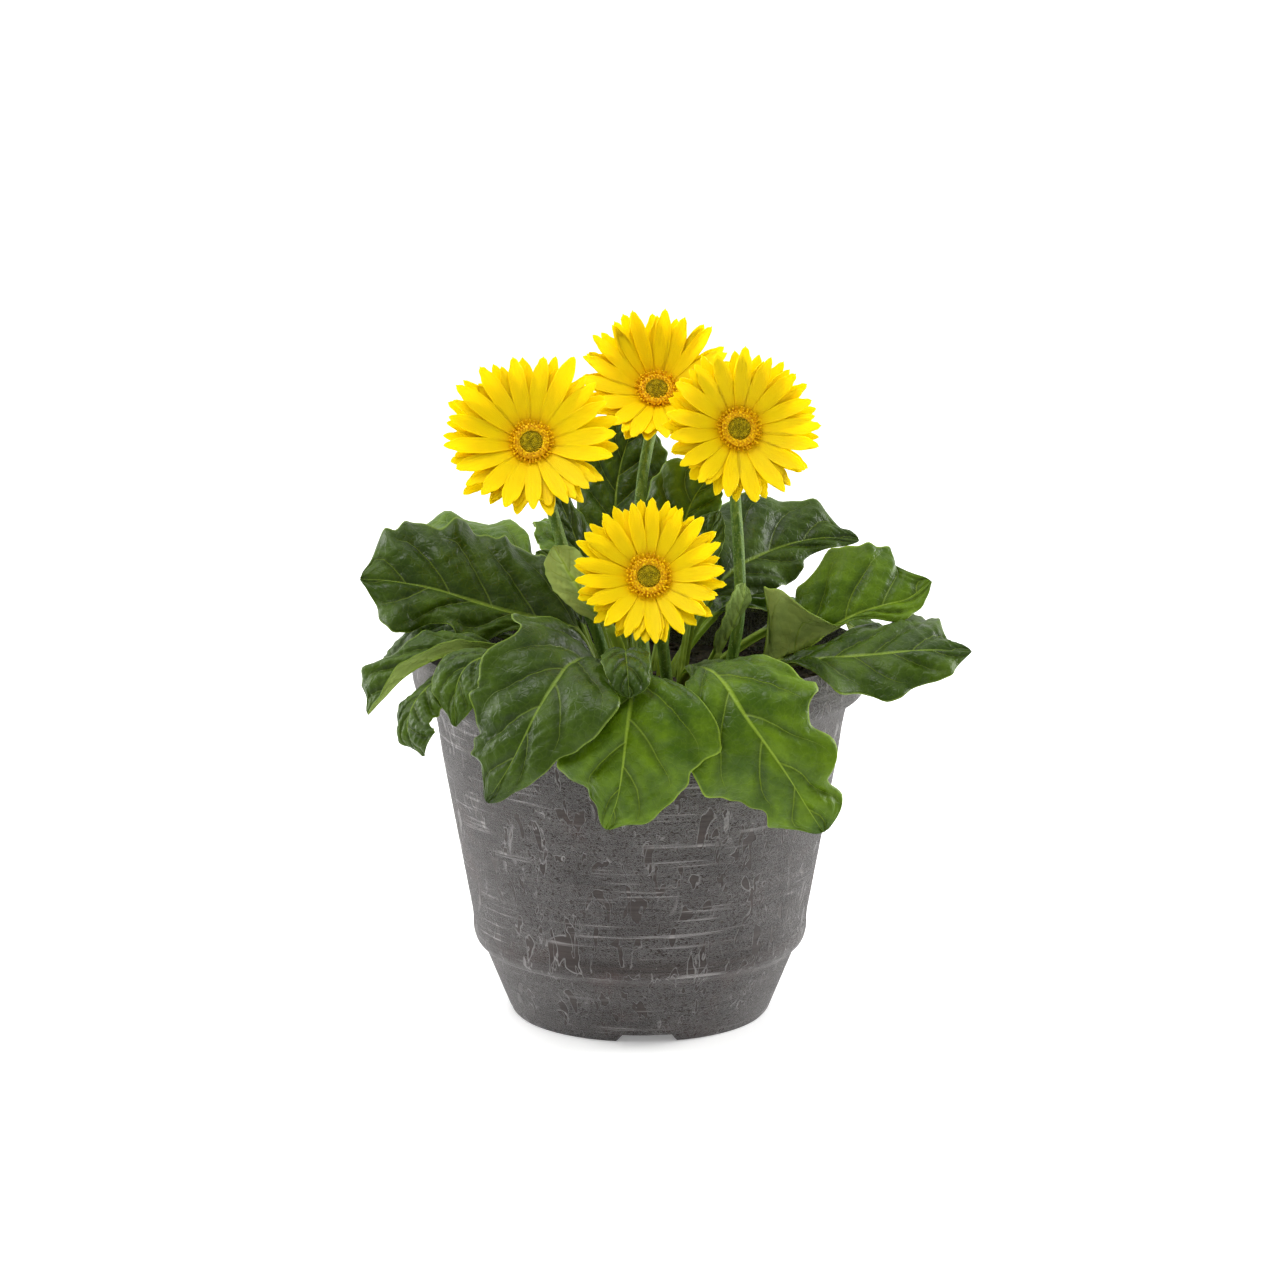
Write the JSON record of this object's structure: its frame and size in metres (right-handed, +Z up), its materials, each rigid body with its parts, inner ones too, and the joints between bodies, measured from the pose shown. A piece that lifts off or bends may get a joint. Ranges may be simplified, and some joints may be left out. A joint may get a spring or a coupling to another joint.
{
  "type": "potted gerbera",
  "caption": "Flowering gerbera in a round faux-stone planter: a rosette of broad lobed leaves over the rim and yellow daisy blooms on leafless stalks.",
  "frame": {"origin": "middle of the bounding box in plan, on the surface that the planter's foot stands on", "axes": "+Z up, -Y towards the side that the blooms face, +X to the right as seen from that side"},
  "size_m": [0.3543, 0.3307, 0.4125],
  "materials": {
    "planter_resin": "matte moulded resin with a rough, streaked faux-stone face",
    "potting_soil": "rough, crumbly, matte",
    "leaf_dark": "waxy, slightly glossy",
    "leaf_mid": "waxy, slightly glossy",
    "leaf_bright": "waxy, slightly glossy",
    "ray_yellow": "soft satin petal",
    "floret_amber": "soft matte",
    "centre_green": "soft matte",
    "stem_green": "finely hairy, satin"
  },
  "bodies": {
    "root": {"bloom_front_centre": "centre_green", "bloom_front_inner_florets": "floret_amber", "bloom_front_rays": "ray_yellow", "bloom_front_stem": "stem_green", "bloom_left_centre": "centre_green", "bloom_left_inner_florets": "floret_amber", "bloom_left_rays": "ray_yellow", "bloom_left_stem": "stem_green", "bloom_right_centre": "centre_green", "bloom_right_inner_florets": "floret_amber", "bloom_right_rays": "ray_yellow", "bloom_right_stem": "stem_green", "bloom_top_centre": "centre_green", "bloom_top_inner_florets": "floret_amber", "bloom_top_rays": "ray_yellow", "bloom_top_stem": "stem_green", "leaf_back_bright": "leaf_bright", "leaf_back_curled": "leaf_mid", "leaf_back_left_high": "leaf_bright", "leaf_back_left_low": "leaf_mid", "leaf_back_low": "leaf_dark", "leaf_back_right_dark": "leaf_dark", "leaf_back_right_high": "leaf_mid", "leaf_back_right_low": "leaf_bright", "leaf_back_tall": "leaf_dark", "leaf_front_left": "leaf_dark", "leaf_front_middle": "leaf_bright", "leaf_front_right": "leaf_bright", "leaf_front_small": "leaf_dark", "leaf_left_back": "leaf_bright", "leaf_left_back_low": "leaf_dark", "leaf_left_broad": "leaf_dark", "leaf_left_curled": "leaf_bright", "leaf_left_fold": "leaf_mid", "leaf_left_inner": "leaf_dark", "leaf_left_low": "leaf_mid", "leaf_left_rolled": "leaf_mid", "leaf_left_tall": "leaf_mid", "leaf_right_back_low": "leaf_mid", "leaf_right_broad": "leaf_mid", "leaf_right_cupped": "leaf_bright", "leaf_right_inner": "leaf_dark", "planter": "planter_resin", "soil": "potting_soil"}
  },
  "joints": []
}
